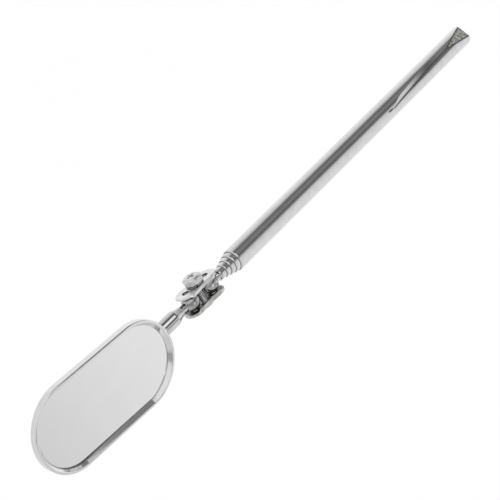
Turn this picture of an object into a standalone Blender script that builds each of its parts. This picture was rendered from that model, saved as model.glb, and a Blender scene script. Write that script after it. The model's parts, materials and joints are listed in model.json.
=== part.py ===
"""Pocket inspection mirror: an oval mirror head on a stem, a two-ball clamp and a telescoping handle.

Row frame, in metres.  +X runs from the mirror towards the handle's tail, +Z is out of the glass, and
the origin is the centre of the mirror frame's flat back face.
"""
from math import asin, cos, pi, radians, sin

import bmesh
import bpy
from mathutils import Matrix, Vector

MM = 0.001

# ---- driving dimensions ----------------------------------------------------------------------
GLASS_WIDTH = 25.4 * MM          # the glass that shows inside the lip
GLASS_LENGTH = 54.9 * MM
GLASS_FACE_Z = 1.1 * MM          # height of the reflecting face above the frame's back
AXIS_DROP = 1.9 * MM             # the stem and handle axis runs this far below the frame's back

SECTION_DIAMETER = [8.0 * MM, 7.0 * MM, 6.0 * MM, 5.0 * MM, 4.1 * MM]
HANDLE_LENGTH = 144.0 * MM       # outer tube, rim to tail
WALL = 0.30 * MM                 # tube wall
RIM_STEP = 1.85 * MM             # how far each closed section stands out of the one around it
SECTION_END = 89.5 * MM          # inner ends of the sections, from the handle's rim, when closed
SLEEVE_LENGTH = 6.0 * MM

BALL_RADIUS = 3.1 * MM
BALL_SPACING = 9.5 * MM
RIM_X = 66.8 * MM                # the handle's front rim
HANDLE_BALL_X = 54.4 * MM
CLAMP_TILT = radians(10.0)       # the clamp screw leans this far from +Y towards -Z

# ---- worked out from them --------------------------------------------------------------------
MIRROR_BALL_X = HANDLE_BALL_X - BALL_SPACING
CLAMP_X = (HANDLE_BALL_X + MIRROR_BALL_X) / 2
SCREW_AXIS = Vector((0.0, cos(CLAMP_TILT), -sin(CLAMP_TILT)))
END_RADIUS = GLASS_WIDTH / 2     # the oval's round ends
HALF_STRAIGHT = (GLASS_LENGTH - GLASS_WIDTH) / 2
HEAD_TURN = radians(-4.0)        # the mirror sits a little askew on its stem

# ---- fits --------------------------------------------------------------------------------------
SLIP = 0.02 * MM                 # sleeve to tube
SEAT = 0.05 * MM                 # faces that rest on each other
DISH_GAP = 0.07 * MM             # hollow neck end to ball
BORE_CLEARANCE = 0.08 * MM       # screw shank in its holes

# ---- clamp -------------------------------------------------------------------------------------
UPPER_OUTER = 3.6 * MM           # outer face of the screw head's plate, from the clamp's middle plane
LOWER_OUTER = 3.9 * MM
PLATE_FLOOR = 2.9 * MM           # inner faces of both plates
PLATE_INNER = 2.2 * MM           # inner ends of their turned-in edges
PLATE_END_RADIUS = 3.75 * MM
PLATE_WAIST = 3.4 * MM           # half-width at the screw
FLANGE_THICKNESS = 0.7 * MM
SEAT_HOLE_RADIUS = 1.2 * MM
SCREW_RADIUS = 1.55 * MM
HEX_FLATS = 6.2 * MM
HEAD_HEIGHT = 2.5 * MM
NUT_HEIGHT = 0.7 * MM
NUT_RADIUS = 2.6 * MM            # a thin round nut pressed into the lower plate
NUT_SOFT = 0.2 * MM
WASHER_RADIUS = 3.0 * MM
WASHER_THICKNESS = 0.55 * MM
THREAD_END = 0.15 * MM           # screw tip past the nut
CORNER_TRIM = 0.9                # chamfered corner, as a share of the full corner
CROWN_HEIGHT = 0.6 * MM          # domed part of the screw head
CROWN_RADIUS = 1.9 * MM          # flat middle of the dome
RECESS_HALF_LENGTH = 1.65 * MM
RECESS_HALF_WIDTH = 0.36 * MM
RECESS_DEPTH = 1.3 * MM
TIP_CHAMFER = 0.3 * MM
PLATE_SOFT = 0.2 * MM            # rounding of the plates' outer edge
MOUTH_START = 0.3 * MM           # past a ball's centre the turned-in edge is left out
CUT_REACH = 10.0 * MM            # cutters run this far past what they cut

# ---- stem --------------------------------------------------------------------------------------
NECK_RADIUS = 1.5 * MM
NECK_END = 6.0 * MM              # distances from the mirror ball's centre
NECK_END_RADIUS = 1.8 * MM
CONE_END = 8.3 * MM
CONE_END_RADIUS = 2.55 * MM
COLLAR_RADIUS = 2.65 * MM
LUG_WIDTH = 3.8 * MM             # block that joins the collar to the frame's edge
LUG_LENGTH = 2.6 * MM
LUG_TOP = 1.5 * MM               # above the frame's back
BRAZE_GAP = 0.1 * MM
COLLAR_SOFT = 0.25 * MM
ROD_NECK_END = 4.1 * MM          # distances from the handle ball's centre
ROD_SHOULDER = 4.6 * MM
ROD_FRONT = 5.0 * MM
ROD_PLUG_END = 11.0 * MM

# ---- mirror head -------------------------------------------------------------------------------
LIP_WIDTH = 1.9 * MM             # frame beyond the visible glass
LIP_HEIGHT = 1.5 * MM            # lip above the glass
FRAME_FLOOR = 0.3 * MM
POCKET = 0.65 * MM               # the pocket reaches this far under the lip
PAD_THICKNESS = 0.2 * MM
LIP_ROUND = 0.5 * MM             # radius of the lip's crown
LIP_CREST = 0.12 * MM            # the lip's inner edge stands this far off the glass
GLASS_BEVEL = 0.12 * MM

# ---- formed tail -------------------------------------------------------------------------------
FORM_START = 91.5 * MM           # from the handle's rim: where the two grooves start
FORM_FULL = 97.0 * MM            # where they are at full depth
FADE_START = 116.0 * MM          # where they start to run out
PRESS_START = 129.75 * MM        # where the end starts to be pressed flat across each groove
GROOVE_DEPTH = 0.32 * MM         # below the round tube
GROOVE_BEFORE = radians(22.5)    # width of a groove's straight flank, about the axis
GROOVE_AFTER = radians(37.5)     # width of its hollow flank
PRESS_HALF = radians(41.5)       # half-width of the pressed flats, about the axis, at the tip
GROOVE_ANGLE_START = radians(78.0)
GROOVE_ANGLE_END = radians(46.0)
PRESS_ANGLE = radians(41.0)      # which way the first flat faces at the tip
GROOVE_CURVE = 1.3               # the grooves turn faster where they start
TIP_PLUG = 1.2 * MM

ROUND = 48                       # facets around a tube
FINE = 32                        # facets around small turned pieces
HEX_POINTS = 36                  # points around a hexagon, a multiple of six
ROLL_STEPS = 5                   # facets across a rolled rim


# ---- scene helpers -----------------------------------------------------------------------------
def clear_scene():
    for item in list(bpy.data.objects):
        bpy.data.objects.remove(item)


def material(name, colour, roughness, metallic=1.0):
    made = bpy.data.materials.new(name)
    made.use_nodes = True
    shader = made.node_tree.nodes["Principled BSDF"]
    shader.inputs["Base Color"].default_value = (*colour, 1.0)
    shader.inputs["Roughness"].default_value = roughness
    shader.inputs["Metallic"].default_value = metallic
    return made


def finish_mesh(name, bm, finish, parent=None, smooth_angle=35.0):
    """Turn a bmesh into a named object with outward normals."""
    bmesh.ops.recalc_face_normals(bm, faces=bm.faces)
    mesh = bpy.data.meshes.new(name)
    bm.to_mesh(mesh)
    bm.free()
    mesh.shade_smooth()
    mesh.set_sharp_from_angle(angle=radians(smooth_angle))
    mesh.materials.append(finish)
    made = bpy.data.objects.new(name, mesh)
    bpy.context.collection.objects.link(made)
    made.parent = parent
    return made


def pivot(name, location, rotation=None):
    """An empty that sits on a joint."""
    made = bpy.data.objects.new(name, None)
    bpy.context.collection.objects.link(made)
    made.location = location
    if rotation is not None:
        made.rotation_euler = rotation.to_euler()
    return made


def skin(rings, caps):
    """Join rings of points with quads.  With caps the ends are closed, otherwise last meets first."""
    bm = bmesh.new()
    loops = [[bm.verts.new(point) for point in ring] for ring in rings]
    count = len(rings[0])
    pairs = list(zip(loops[:-1], loops[1:]))
    if not caps:
        pairs.append((loops[-1], loops[0]))
    for first, second in pairs:
        for i in range(count):
            j = (i + 1) % count
            bm.faces.new((first[i], first[j], second[j], second[i]))
    if caps:
        bm.faces.new(loops[0])
        bm.faces.new(loops[-1])
    return bm


def circle(radius, x, count):
    """A ring about the X axis."""
    angles = [2 * pi * i / count for i in range(count)]
    return [Vector((x, radius * cos(a), radius * sin(a))) for a in angles]


def turned(profile, count=FINE, caps=True):
    """A body turned about X from (x, radius) pairs."""
    return skin([circle(radius, x, count) for x, radius in profile], caps)


def arc(centre_x, centre_r, radius, start, end, steps):
    """Profile points on a circle, angles in degrees from +X towards larger radius."""
    points = []
    for i in range(steps + 1):
        angle = radians(start + (end - start) * i / steps)
        points.append((centre_x + radius * cos(angle), centre_r + radius * sin(angle)))
    return points


def hidden(name, bm, parent):
    """A guide body that shapes another and is not part of the object."""
    bmesh.ops.recalc_face_normals(bm, faces=bm.faces)
    mesh = bpy.data.meshes.new(name)
    bm.to_mesh(mesh)
    bm.free()
    guide = bpy.data.objects.new(name, mesh)
    bpy.context.collection.objects.link(guide)
    guide.parent = parent
    guide.hide_render = True
    guide.display_type = "WIRE"
    return guide


def combine(target, guide, operation):
    modifier = target.modifiers.new(guide.name, "BOOLEAN")
    modifier.operation = operation
    modifier.solver = "EXACT"
    modifier.object = guide


def cut(target, name, bm):
    """Subtract a hidden body from target; both share target's parent."""
    combine(target, hidden(name, bm, target.parent), "DIFFERENCE")


# ---- handle ------------------------------------------------------------------------------------
def section_radius(index):
    return SECTION_DIAMETER[index] / 2


def rim_profile(index, front, back):
    """Closed tube profile with its front edge rolled in to meet the next section."""
    outer = section_radius(index)
    inner = outer - WALL
    neck = section_radius(index + 1) + SEAT
    roll = outer - neck
    nose = arc(front + roll, neck, roll, 90, 180, ROLL_STEPS)
    lip_back = front + roll + WALL
    return [(back, outer)] + nose + [(lip_back - WALL, neck), (lip_back, inner), (back, inner)]


def share(value, start, end):
    """How far value is from start to end, held between 0 and 1."""
    return min(max((value - start) / (end - start), 0.0), 1.0)


def groove_angle(x):
    """Where the first groove lies about the axis; it curls round a little on its way to the tip."""
    left = (1.0 - share(x, FORM_START, PRESS_START)) ** GROOVE_CURVE
    turned = (PRESS_ANGLE - GROOVE_ANGLE_END) * share(x, PRESS_START, HANDLE_LENGTH)
    return GROOVE_ANGLE_END + (GROOVE_ANGLE_START - GROOVE_ANGLE_END) * left + turned


def chord_radius(angle, low, end_angle, high):
    """Radius of the straight line from the bottom of a groove, at angle 0, up to its edge."""
    return low * high * sin(end_angle) / (low * sin(angle) + high * sin(end_angle - angle))


def tail_radius(x, angle):
    """Outer radius of the formed tail at x from the rim and an angle about the axis."""
    full = section_radius(0)
    formed = share(x, FORM_START, FORM_FULL)
    depth = GROOVE_DEPTH * formed * (1.0 - share(x, FADE_START, HANDLE_LENGTH - TIP_PLUG))
    from_groove = (angle - groove_angle(x) + pi / 2) % pi - pi / 2
    width = formed * (GROOVE_AFTER if from_groove > 0.0 else GROOVE_BEFORE)
    outside = full
    if abs(from_groove) < width and from_groove > 0.0:
        outside = full - depth * (1.0 - from_groove / width) ** 2
    elif abs(from_groove) < width:
        outside = chord_radius(-from_groove, full - depth, width, full)
    pressed = full * cos(PRESS_HALF * share(x, PRESS_START, HANDLE_LENGTH))
    return min(outside, pressed / cos(from_groove))


def tail_ring(x, inset):
    """A ring of the tail whose points follow the grooves round as they turn."""
    points = []
    for i in range(ROUND):
        angle = groove_angle(x) + 2 * pi * i / ROUND
        radius = tail_radius(x, angle) - inset
        points.append(Vector((x, radius * cos(angle), radius * sin(angle))))
    return points


def spun_rings(profile):
    """Round rings whose points line up with the tail's first ring."""
    spin = Matrix.Rotation(GROOVE_ANGLE_START, 3, "X")
    return [[spin @ point for point in circle(radius, x, ROUND)] for x, radius in profile]


def tail_stations():
    """Where the tail's rings stand, closer together where the shape changes faster."""
    forming = 4
    twisting = 10
    pressing = 4
    stations = []
    for i in range(forming + 1):
        stations.append(FORM_START + (FORM_FULL - FORM_START) * i / forming)
    for i in range(1, twisting + 1):
        stations.append(FORM_FULL + (PRESS_START - FORM_FULL) * i / twisting)
    for i in range(1, pressing + 1):
        stations.append(PRESS_START + (HANDLE_LENGTH - PRESS_START) * i / pressing)
    return stations


def make_outer_tube(parent, finish):
    outer = section_radius(0)
    neck = section_radius(1) + SEAT
    roll = outer - neck
    stations = tail_stations()
    throat = spun_rings([(roll + WALL, outer - WALL), (roll, neck)])
    front = spun_rings(reversed(arc(roll, neck, roll, 90, 180, ROLL_STEPS)))
    outside = [tail_ring(x, 0.0) for x in stations]
    inside = [tail_ring(x, WALL) for x in reversed(stations[:-1])]
    plug = tail_ring(HANDLE_LENGTH - TIP_PLUG, WALL)
    rings = throat + front + outside + [plug] + inside
    bm = closed_pocket(rings, len(throat) + len(front) + len(outside) - 1)
    return finish_mesh("outer_tube", bm, finish, parent, 25.0)


def closed_pocket(rings, tip_index):
    """Skin a tube that is open at its first ring and closed by a tip after ring tip_index."""
    bm = bmesh.new()
    loops = [[bm.verts.new(point) for point in ring] for ring in rings]
    count = len(rings[0])
    for k in range(len(loops)):
        if k == tip_index:
            continue
        first = loops[k]
        second = loops[(k + 1) % len(loops)]
        for i in range(count):
            j = (i + 1) % count
            bm.faces.new((first[i], first[j], second[j], second[i]))
    bm.faces.new(loops[tip_index])
    bm.faces.new(loops[tip_index + 1])
    return bm


def make_section(index, parent, finish):
    front = -RIM_STEP * index
    bm = turned(rim_profile(index, front, SECTION_END), ROUND, caps=False)
    return finish_mesh(f"section_{index + 1}", bm, finish, parent)


def make_sleeve(index, parent, finish):
    """Springy bush between a section's inner end and the tube around it."""
    inner = section_radius(index) + SLIP
    outer = section_radius(index - 1) - WALL - SLIP
    back = SECTION_END - RIM_STEP * index
    front = back - SLEEVE_LENGTH
    bm = turned([(front, inner), (front, outer), (back, outer), (back, inner)], ROUND, caps=False)
    return finish_mesh(f"sleeve_{index + 1}", bm, finish, parent)


def make_rod(parent, finish):
    """The innermost section, a plain tube that carries the handle ball."""
    outer = section_radius(4)
    front = HANDLE_BALL_X - RIM_X + ROD_FRONT
    back = SECTION_END
    profile = [(front, outer - WALL), (front, outer), (back, outer), (back, outer - WALL)]
    return finish_mesh("section_5", turned(profile, ROUND, caps=False), finish, parent)


# ---- ball joints -------------------------------------------------------------------------------
def make_ball(name, parent, finish):
    bm = bmesh.new()
    bmesh.ops.create_uvsphere(bm, u_segments=FINE, v_segments=16, radius=BALL_RADIUS)
    return finish_mesh(name, bm, finish, parent)


def dish(direction, neck_radius):
    """Profile of the hollow end of a neck, concentric with a ball at x = 0, centre first."""
    hollow = BALL_RADIUS + DISH_GAP
    half = asin(neck_radius / hollow)
    steps = 4
    points = []
    for i in range(1, steps + 1):
        angle = half * i / steps
        points.append((direction * hollow * cos(angle), hollow * sin(angle)))
    return points


def make_rod_neck(parent, finish):
    """Plug in the end of the innermost tube, necked down to the ball; x from the ball's centre."""
    rod = section_radius(4)
    plug = rod - WALL - SLIP
    profile = dish(1, NECK_RADIUS)
    soft = 0.1 * MM
    seam = ROD_FRONT - SEAT
    profile += [(ROD_NECK_END, NECK_RADIUS), (ROD_SHOULDER - soft, rod - soft), (ROD_SHOULDER, rod)]
    profile += [(seam, rod), (seam, plug), (ROD_PLUG_END, plug)]
    return finish_mesh("rod_neck", turned(profile), finish, parent)


def make_stem_neck(parent, finish):
    profile = dish(-1, NECK_RADIUS)
    profile += [(-NECK_END, NECK_END_RADIUS), (-CONE_END, CONE_END_RADIUS)]
    return finish_mesh("stem_neck", turned(profile), finish, parent)


# ---- clamp -------------------------------------------------------------------------------------
def plate_outline(inset, steps=10):
    """Dog-bone outline in the clamp's X-Z plane: two round ends and a slight waist."""
    radius = PLATE_END_RADIUS - inset
    waist = PLATE_WAIST - inset
    half = BALL_SPACING / 2
    quarter = []
    for i in range(steps + 1):
        angle = pi / 2 * i / steps
        quarter.append((half + radius * cos(angle), radius * sin(angle)))
    for i in range(1, 4):
        x = half * (1 - i / 4)
        dip = (radius - waist) * (0.5 + 0.5 * cos(pi * x / half))
        quarter.append((x, radius - dip))
    quarter.append((0.0, waist))
    upper = quarter + [(-x, y) for x, y in reversed(quarter[:-1])]
    lower = [(x, -y) for x, y in reversed(upper[1:-1])]
    return upper + lower


def prism(outline, low, high):
    """A flat body over an outline in X-Z, between two heights along Y."""
    rings = [[Vector((x, height, z)) for x, z in outline] for height in (low, high)]
    return skin(rings, True)


def ring(radius, height, x=0.0, count=HEX_POINTS, start=0.0):
    """Points around the clamp's screw direction."""
    angles = [start + 2 * pi * i / count for i in range(count)]
    return [Vector((x + radius * cos(a), height, radius * sin(a))) for a in angles]


def hex_ring(height, trim=1.0):
    """Points around a hexagon, its corners trimmed to a share of their full reach."""
    apothem = HEX_FLATS / 2
    limit = apothem / cos(pi / 6) * trim
    points = []
    for i in range(HEX_POINTS):
        angle = 2 * pi * i / HEX_POINTS
        from_flat = angle % (pi / 3) - pi / 6
        radius = min(apothem / cos(from_flat), limit)
        points.append(Vector((radius * cos(angle), height, radius * sin(angle))))
    return points


def drill(target, name, radius, x):
    """Cut a through hole along the clamp's screw direction."""
    rings = [ring(radius, height, x, FINE, pi / FINE) for height in (-CUT_REACH, CUT_REACH)]
    cut(target, name, skin(rings, True))


def make_plate(name, side, outer, parent, finish):
    """A stamped plate with its long edges turned in; side is +1 for the screw head's side."""
    full = plate_outline(0.0)
    soft = plate_outline(PLATE_SOFT)
    layers = ((PLATE_INNER, full), (outer - PLATE_SOFT, full), (outer, soft))
    rings = [[Vector((x, side * height, z)) for x, z in outline] for height, outline in layers]
    plate = finish_mesh(name, skin(rings, True), finish, parent)
    below = side * (PLATE_INNER - MM)
    floor = side * PLATE_FLOOR
    cut(plate, name + "_hollow", prism(plate_outline(FLANGE_THICKNESS), below, floor))
    for end in (-1, 1):
        start = end * (BALL_SPACING / 2 + MOUTH_START)
        stop = start + end * CUT_REACH
        box = [(start, -CUT_REACH), (start, CUT_REACH), (stop, CUT_REACH), (stop, -CUT_REACH)]
        cut(plate, f"{name}_mouth_{end + 1}", prism(box, below, floor))
        drill(plate, f"{name}_seat_{end + 1}", SEAT_HOLE_RADIUS, end * BALL_SPACING / 2)
    drill(plate, name + "_screw_hole", SCREW_RADIUS + BORE_CLEARANCE, 0.0)
    return plate


def make_nut(parent, finish):
    top = -(LOWER_OUTER + SEAT)
    bottom = top - NUT_HEIGHT
    bore = SCREW_RADIUS + BORE_CLEARANCE
    rings = [ring(NUT_RADIUS, top), ring(bore, top), ring(bore, bottom)]
    rings += [ring(NUT_RADIUS - NUT_SOFT, bottom), ring(NUT_RADIUS, bottom + NUT_SOFT)]
    return finish_mesh("clamp_nut", skin(rings, False), finish, parent)


def make_washer(parent, finish):
    low = UPPER_OUTER + SEAT
    high = low + WASHER_THICKNESS
    bore = SCREW_RADIUS + BORE_CLEARANCE
    rings = [ring(bore, low), ring(bore, high), ring(WASHER_RADIUS, high), ring(WASHER_RADIUS, low)]
    return finish_mesh("lock_washer", skin(rings, False), finish, parent)


def make_screw(parent, finish):
    """Hexagon head with a domed top and a cross recess, and a plain shank."""
    seat = UPPER_OUTER + SEAT + WASHER_THICKNESS + SEAT
    top = seat + HEAD_HEIGHT
    tip = -(LOWER_OUTER + SEAT + NUT_HEIGHT + THREAD_END)
    rings = [ring(SCREW_RADIUS - TIP_CHAMFER, tip), ring(SCREW_RADIUS, tip + TIP_CHAMFER)]
    rings += [ring(SCREW_RADIUS, seat), hex_ring(seat), hex_ring(top - CROWN_HEIGHT)]
    rings += [hex_ring(top - CROWN_HEIGHT / 2, CORNER_TRIM), ring(CROWN_RADIUS, top)]
    screw = finish_mesh("clamp_screw", skin(rings, True), finish, parent)
    sizes = ((RECESS_HALF_LENGTH, RECESS_HALF_WIDTH), (RECESS_HALF_WIDTH, RECESS_HALF_LENGTH))
    for turn, (half_x, half_z) in enumerate(sizes):
        box = [(-half_x, -half_z), (half_x, -half_z), (half_x, half_z), (-half_x, half_z)]
        cut(screw, f"recess_{turn}", prism(box, top - RECESS_DEPTH, top + MM))
    return screw


# ---- mirror head -------------------------------------------------------------------------------
def oval(offset, height, steps=22):
    """Stadium ring around the glass outline, grown by offset."""
    radius = END_RADIUS + offset
    turn = Matrix.Rotation(HEAD_TURN, 3, "Z")
    points = []
    for side in (1, -1):
        for i in range(steps + 1):
            angle = -pi / 2 + pi * i / steps
            x = side * (HALF_STRAIGHT + radius * cos(angle))
            points.append(turn @ Vector((x, side * radius * sin(angle), height)))
    return points


def make_frame(parent, finish):
    """Pressed pan with a rounded lip that turns over the edge of the glass."""
    lip = GLASS_FACE_Z + LIP_HEIGHT
    over_glass = GLASS_FACE_Z + SEAT
    profile = [(LIP_WIDTH - 0.75 * MM, 0.0), (LIP_WIDTH - 0.3 * MM, 0.12 * MM)]
    profile += [(LIP_WIDTH - 0.06 * MM, 0.4 * MM), (LIP_WIDTH, 0.8 * MM), (LIP_WIDTH, lip - 1.0 * MM)]
    crown = LIP_WIDTH - LIP_ROUND
    for degrees in (25, 50, 70, 90, 110, 130, 155):
        angle = radians(degrees)
        profile.append((crown + LIP_ROUND * cos(angle), lip - LIP_ROUND + LIP_ROUND * sin(angle)))
    profile += [(0.0, over_glass + LIP_CREST), (0.02 * MM, over_glass)]
    profile += [(POCKET, over_glass), (POCKET, FRAME_FLOOR)]
    rings = [oval(offset, height) for offset, height in profile]
    return finish_mesh("mirror_frame", skin(rings, True), finish, parent, 40.0)


def make_pad(parent, finish):
    """Soft backing between the frame's floor and the glass."""
    low = FRAME_FLOOR + SEAT
    rings = [oval(POCKET - 0.1 * MM, low), oval(POCKET - 0.1 * MM, low + PAD_THICKNESS)]
    return finish_mesh("backing_pad", skin(rings, True), finish, parent)


def make_glass(parent, finish):
    low = FRAME_FLOOR + PAD_THICKNESS + 2 * SEAT
    edge = POCKET - SEAT
    rings = [oval(edge - GLASS_BEVEL, low), oval(edge, low + GLASS_BEVEL)]
    rings += [oval(edge, GLASS_FACE_Z - GLASS_BEVEL), oval(edge - GLASS_BEVEL, GLASS_FACE_Z)]
    return finish_mesh("mirror_glass", skin(rings, True), finish, parent, 20.0)


def make_collar(parent, finish):
    """Turned collar with a lug that is brazed to the frame's end; x runs from the mirror ball."""
    start = -CONE_END - SEAT
    end = HALF_STRAIGHT + END_RADIUS + LIP_WIDTH + BRAZE_GAP - MIRROR_BALL_X
    profile = [(start, CONE_END_RADIUS), (start - COLLAR_SOFT, COLLAR_RADIUS)]
    profile += [(end + COLLAR_SOFT, COLLAR_RADIUS), (end, COLLAR_RADIUS - COLLAR_SOFT)]
    collar = finish_mesh("stem_collar", turned(profile), finish, parent)
    half = LUG_WIDTH / 2
    back = end + LUG_LENGTH
    middle = end + LUG_LENGTH * 0.35
    top = AXIS_DROP + LUG_TOP
    shape = [(end, 0.0), (end, top), (middle, top), (back, COLLAR_RADIUS * 0.8), (back, 0.0)]
    sides = [[Vector((x, y, z)) for x, z in shape] for y in (-half, half)]
    combine(collar, hidden("collar_lug", skin(sides, True), parent), "UNION")
    return collar


# ---- assembly ----------------------------------------------------------------------------------
def build():
    clear_scene()
    chrome = material("tube_chrome", (0.82, 0.82, 0.83), 0.08)
    plate = material("plated_steel", (0.78, 0.79, 0.78), 0.28)
    ball = material("polished_ball", (0.8, 0.8, 0.8), 0.06)
    bolt = material("zinc_screw", (0.72, 0.72, 0.71), 0.3)
    stem = material("stem_chrome", (0.8, 0.8, 0.81), 0.1)
    bezel = material("frame_chrome", (0.84, 0.84, 0.85), 0.08)
    silver = material("mirror_silver", (0.93, 0.94, 0.94), 0.02)
    bronze = material("sleeve_bronze", (0.62, 0.47, 0.24), 0.35)
    felt = material("pad_grey", (0.12, 0.12, 0.12), 0.9, 0.0)

    axis_z = -AXIS_DROP
    handle = pivot("handle_axis", (RIM_X, 0.0, axis_z))
    make_outer_tube(handle, chrome)
    for index in (1, 2, 3):
        make_section(index, handle, chrome)
    make_rod(handle, chrome)
    for index in (1, 2, 3, 4):
        make_sleeve(index, handle, bronze)

    handle_ball = pivot("handle_ball_centre", (HANDLE_BALL_X, 0.0, axis_z))
    make_rod_neck(handle_ball, stem)
    make_ball("handle_ball", handle_ball, ball)

    clamp = pivot("clamp_centre", (CLAMP_X, 0.0, axis_z), Matrix.Rotation(-CLAMP_TILT, 3, "X"))
    make_plate("clamp_plate_upper", 1, UPPER_OUTER, clamp, plate)
    make_plate("clamp_plate_lower", -1, LOWER_OUTER, clamp, plate)
    make_nut(clamp, bolt)
    make_washer(clamp, bolt)
    make_screw(clamp, bolt)

    mirror_ball = pivot("mirror_ball_centre", (MIRROR_BALL_X, 0.0, axis_z))
    make_ball("mirror_ball", mirror_ball, ball)
    make_stem_neck(mirror_ball, stem)
    make_collar(mirror_ball, stem)

    head = pivot("mirror_head", (0.0, 0.0, 0.0))
    make_frame(head, bezel)
    make_pad(head, felt)
    make_glass(head, silver)


build()
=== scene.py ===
"""Looks for the pocket inspection mirror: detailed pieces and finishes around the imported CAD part.

Row frame, in metres.  +X runs from the mirror towards the handle's tail, +Z is out of the glass, and
the origin is the centre of the mirror frame's flat back.
"""

import json
from math import asin, atan2, cos, pi, radians, sin, tan

import bmesh
import bpy
from mathutils import Matrix, Vector


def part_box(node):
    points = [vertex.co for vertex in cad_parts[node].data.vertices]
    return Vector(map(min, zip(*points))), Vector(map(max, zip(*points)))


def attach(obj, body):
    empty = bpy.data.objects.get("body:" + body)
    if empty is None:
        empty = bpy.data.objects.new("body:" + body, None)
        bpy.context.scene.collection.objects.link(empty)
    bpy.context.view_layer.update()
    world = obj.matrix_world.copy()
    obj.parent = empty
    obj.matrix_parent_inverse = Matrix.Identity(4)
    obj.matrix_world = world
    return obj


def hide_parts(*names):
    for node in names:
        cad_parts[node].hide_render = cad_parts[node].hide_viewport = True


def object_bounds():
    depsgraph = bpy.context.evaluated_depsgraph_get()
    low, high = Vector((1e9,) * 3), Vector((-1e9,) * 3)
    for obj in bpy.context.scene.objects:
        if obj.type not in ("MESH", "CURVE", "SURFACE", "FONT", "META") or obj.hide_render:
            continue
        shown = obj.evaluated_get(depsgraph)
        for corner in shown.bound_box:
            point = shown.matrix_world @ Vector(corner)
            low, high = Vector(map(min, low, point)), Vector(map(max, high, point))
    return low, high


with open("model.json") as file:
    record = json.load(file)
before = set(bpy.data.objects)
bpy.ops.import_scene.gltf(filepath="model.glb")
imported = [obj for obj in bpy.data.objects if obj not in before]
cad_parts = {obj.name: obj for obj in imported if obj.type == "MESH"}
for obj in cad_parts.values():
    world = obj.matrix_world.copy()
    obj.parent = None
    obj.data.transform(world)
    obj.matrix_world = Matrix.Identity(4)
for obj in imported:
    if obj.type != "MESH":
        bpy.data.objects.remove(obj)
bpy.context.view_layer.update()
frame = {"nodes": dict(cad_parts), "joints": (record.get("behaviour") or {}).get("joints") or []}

MM = 0.001


# ---- places and sizes taken from the frame -----------------------------------------------------
def size_of(node):
    low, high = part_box(node)
    return high - low


def middle_of(node):
    low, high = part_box(node)
    return (low + high) / 2


def joint(name):
    return next(item for item in frame["joints"] if item["name"] == name)


RIM_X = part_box("outer_tube")[0].x
TAIL_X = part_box("outer_tube")[1].x
HANDLE_BALL = middle_of("handle_ball")
MIRROR_BALL = middle_of("mirror_ball")
CLAMP_CENTRE = (HANDLE_BALL + MIRROR_BALL) / 2
BALL_SPACING = HANDLE_BALL.x - MIRROR_BALL.x
BALL_RADIUS = size_of("handle_ball").z / 2
AXIS_Z = HANDLE_BALL.z
SCREW_AXIS = Vector(joint("screw_travel")["axis"])
CLAMP_TILT = atan2(SCREW_AXIS.z, SCREW_AXIS.y)
FRAME_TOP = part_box("mirror_frame")[1].z
GLASS_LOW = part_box("mirror_glass")[0].z
GLASS_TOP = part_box("mirror_glass")[1].z

HANDLE_PLACE = Matrix.Translation((RIM_X, 0.0, AXIS_Z))
HANDLE_BALL_PLACE = Matrix.Translation(HANDLE_BALL)
MIRROR_BALL_PLACE = Matrix.Translation(MIRROR_BALL)
CLAMP_PLACE = Matrix.Translation(CLAMP_CENTRE) @ Matrix.Rotation(CLAMP_TILT, 4, "X")

# ---- shape sizes, as in the CAD ----------------------------------------------------------------
OUTER_RADIUS = 4.0 * MM
WALL = 0.30 * MM
SEAT = 0.05 * MM
RIM_STEP = 1.85 * MM
HANDLE_LENGTH = TAIL_X - RIM_X
SECTION_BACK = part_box("section_2")[1].x - RIM_X
SECTION_RADIUS = [OUTER_RADIUS] + [size_of(f"section_{k}").z / 2 for k in (2, 3, 4, 5)]

FORM_START = 91.5 * MM           # from the rim: where the tail's two grooves start
FORM_FULL = 97.0 * MM
FADE_START = 116.0 * MM
PRESS_START = 129.75 * MM        # where the end is pressed flat across each groove
GROOVE_DEPTH = 0.32 * MM
GROOVE_BEFORE = radians(22.5)    # width of a groove's straight flank, about the axis
GROOVE_AFTER = radians(37.5)     # width of its hollow flank
PRESS_HALF = radians(41.5)       # half-width of the pressed flats, about the axis, at the tip
GROOVE_ANGLE_START = radians(78.0)
GROOVE_ANGLE_END = radians(46.0)
PRESS_ANGLE = radians(41.0)
GROOVE_CURVE = 1.3               # the grooves turn faster where they start
NICK_START = 88.6 * MM           # a small dent just before each groove
NICK_END = 91.7 * MM
NICK_ANGLE = radians(71.5)
NICK_DEPTH = 0.14 * MM
TIP_PLUG = 1.2 * MM

UPPER_OUTER = 3.6 * MM           # outer face of the screw head's plate, from the clamp's middle plane
LOWER_OUTER = 3.9 * MM
PLATE_FLOOR = 2.9 * MM           # inner faces of both plates
PLATE_INNER = 2.2 * MM           # inner ends of their turned-in edges
PLATE_END_RADIUS = 3.75 * MM
PLATE_WAIST = 3.4 * MM
FLANGE_THICKNESS = 0.7 * MM
MOUTH_START = 0.3 * MM
SEAT_HOLE_RADIUS = 1.2 * MM
SCREW_RADIUS = 1.55 * MM
BORE_CLEARANCE = 0.08 * MM
HEX_FLATS = 6.2 * MM
HEAD_HEIGHT = 2.5 * MM
NUT_HEIGHT = 0.7 * MM
NUT_RADIUS = 2.6 * MM
WASHER_RADIUS = 3.0 * MM
WASHER_THICKNESS = 0.55 * MM
THREAD_END = 0.15 * MM
THREAD_PITCH = 0.5 * MM

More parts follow.
